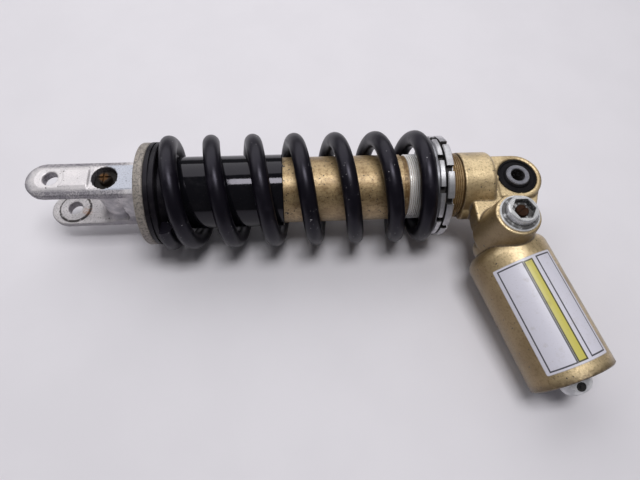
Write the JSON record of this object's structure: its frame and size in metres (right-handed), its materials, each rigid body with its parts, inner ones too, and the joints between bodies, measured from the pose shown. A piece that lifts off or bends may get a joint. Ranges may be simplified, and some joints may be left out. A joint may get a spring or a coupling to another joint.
{
  "type": "motorcycle rear shock absorber",
  "caption": "Off-road motorcycle rear shock absorber with coil spring, preload nuts, adjustable damping, clevis foot and a piggyback gas reservoir.",
  "frame": {"origin": "centre of the upper eye's bolt bore, halfway between its ends", "axes": "+X runs along the shock's axis from the lower clevis towards the upper eye, +Z is the axis of both mounting bolts, on the side of the adjusters, and +Y is away from the reservoir"},
  "size_m": [0.3884, 0.1966, 0.0839],
  "materials": {
    "gold_paint": "matt champagne-gold textured paint on cast aluminium",
    "gold_tube": "gold anodised and painted tube, worn bright on its thread",
    "cast_alloy": "sand-cast aluminium with worn edges and one milled flat",
    "bright_alloy": "machined aluminium, scuffed",
    "pale_alloy": "clear anodised machined aluminium",
    "spring_paint": "satin blue-black powder coat with small chips",
    "seat_moulding": "black moulding",
    "dust_tube_gloss": "glossy black plastic",
    "hard_chrome": "hard-chromed, ground",
    "bearing_steel": "hardened steel",
    "aged_brass": "brass, darkened and dirty",
    "seal_rubber": "black nitrile rubber",
    "bump_rubber": "dense rubber foam",
    "band_plastic": "filled bearing plastic"
  },
  "bodies": {
    "damper": {"head_casting": "gold_paint", "damper_tube": "gold_tube", "tube_seal": "seal_rubber", "seal_head": "bright_alloy", "rod_bush": "aged_brass", "oil_seal": "seal_rubber", "seal_head_o_ring": "seal_rubber", "seal_head_clip": "bearing_steel", "dust_cap": "bearing_steel", "rod_scraper": "seal_rubber", "bearing_shell": "bearing_steel", "needle_rollers": "bearing_steel", "eye_seals": "seal_rubber", "bladder": "seal_rubber", "reservoir_cap": "pale_alloy", "cap_o_ring": "seal_rubber", "reservoir_clip": "bearing_steel", "gas_valve_body": "aged_brass", "compression_housing": "bright_alloy", "compression_o_ring": "seal_rubber", "compression_valve": "bright_alloy", "compression_valve_shims": "bearing_steel", "coil_spring": "spring_paint"},
    "upper_seat": {"spring_washer": "bearing_steel"},
    "adjuster_nut": {"adjuster_nut": "bright_alloy"},
    "lock_nut": {"lock_nut": "bright_alloy"},
    "lower_seat": {"lower_seat": "seat_moulding", "dust_tube": "dust_tube_gloss"},
    "rod_clevis": {"clevis": "cast_alloy", "damper_rod": "hard_chrome", "bump_washer": "bearing_steel", "bump_stop": "bump_rubber", "top_out_bumper": "bump_rubber", "backing_washers": "bearing_steel", "rebound_shims": "bearing_steel", "piston": "bright_alloy", "piston_band": "band_plastic", "compression_shims": "bearing_steel", "piston_nut": "bearing_steel", "rebound_bush": "aged_brass"},
    "rebound_screw": {"rebound_screw": "aged_brass"},
    "rebound_needle": {"rebound_needle": "bearing_steel"},
    "compression_adjuster": {"compression_adjuster": "bright_alloy"},
    "compression_screw": {"compression_screw": "bearing_steel"},
    "gas_valve_pin": {"gas_valve_pin": "aged_brass"},
    "eye_collar": {"eye_collar": "bearing_steel"}
  },
  "joints": [
    {"name": "stroke", "type": "slide", "parent": "damper", "child": "lower_seat", "axis": [1, 0, 0], "range_m": [0, 0.069], "stiffness_N_per_m": 46000, "springref_m": -0.007, "deforming": ["coil_spring"]},
    {"name": "clevis_turn", "type": "hinge", "parent": "lower_seat", "child": "rod_clevis", "pos_m": [-0.2665, 0, 0], "axis": [1, 0, 0], "continuous": true},
    {"name": "rebound_screw_turn", "type": "hinge", "parent": "rod_clevis", "child": "rebound_screw", "pos_m": [-0.296, 0, 0], "axis": [0, 0, 1], "range_deg": [0, 900]},
    {"name": "rebound_needle_travel", "type": "slide", "parent": "rod_clevis", "child": "rebound_needle", "axis": [1, 0, 0], "range_m": [0, 0.002]},
    {"name": "preload_travel", "type": "slide", "parent": "damper", "child": "upper_seat", "axis": [1, 0, 0], "range_m": [-0.009, 0.006], "deforming": ["coil_spring"]},
    {"name": "preload_nut_turn", "type": "hinge", "parent": "upper_seat", "child": "adjuster_nut", "pos_m": [-0.065, 0, 0], "axis": [1, 0, 0], "range_deg": [-2160, 1440]},
    {"name": "lock_nut_turn", "type": "hinge", "parent": "upper_seat", "child": "lock_nut", "pos_m": [-0.06, 0, 0], "axis": [1, 0, 0], "range_deg": [-2160, 1440]},
    {"name": "compression_adjuster_turn", "type": "hinge", "parent": "damper", "child": "compression_adjuster", "pos_m": [-0.02009, -0.04458, 0.039], "axis": [0, 0, 1], "range_deg": [0, 720]},
    {"name": "compression_screw_turn", "type": "hinge", "parent": "damper", "child": "compression_screw", "pos_m": [-0.02009, -0.04458, 0.03], "axis": [0, 0, 1], "range_deg": [0, 900]},
    {"name": "gas_valve_press", "type": "slide", "parent": "damper", "child": "gas_valve_pin", "axis": [0.2646, 0.1829, -0.9468], "range_m": [0, 0.0015], "stiffness_N_per_m": 300, "springref_m": -0.002},
    {"name": "eye_sleeve_turn", "type": "hinge", "parent": "damper", "child": "eye_collar", "pos_m": [0, 0, 0], "axis": [0, 0, 1], "continuous": true}
  ],
  "couplings": [
    {"joint": "preload_nut_turn", "follows": "preload_travel", "rad_per_m": 4188.8},
    {"joint": "lock_nut_turn", "follows": "preload_travel", "rad_per_m": 4188.8},
    {"joint": "rebound_screw_turn", "follows": "rebound_needle_travel", "rad_per_m": 7854}
  ]
}
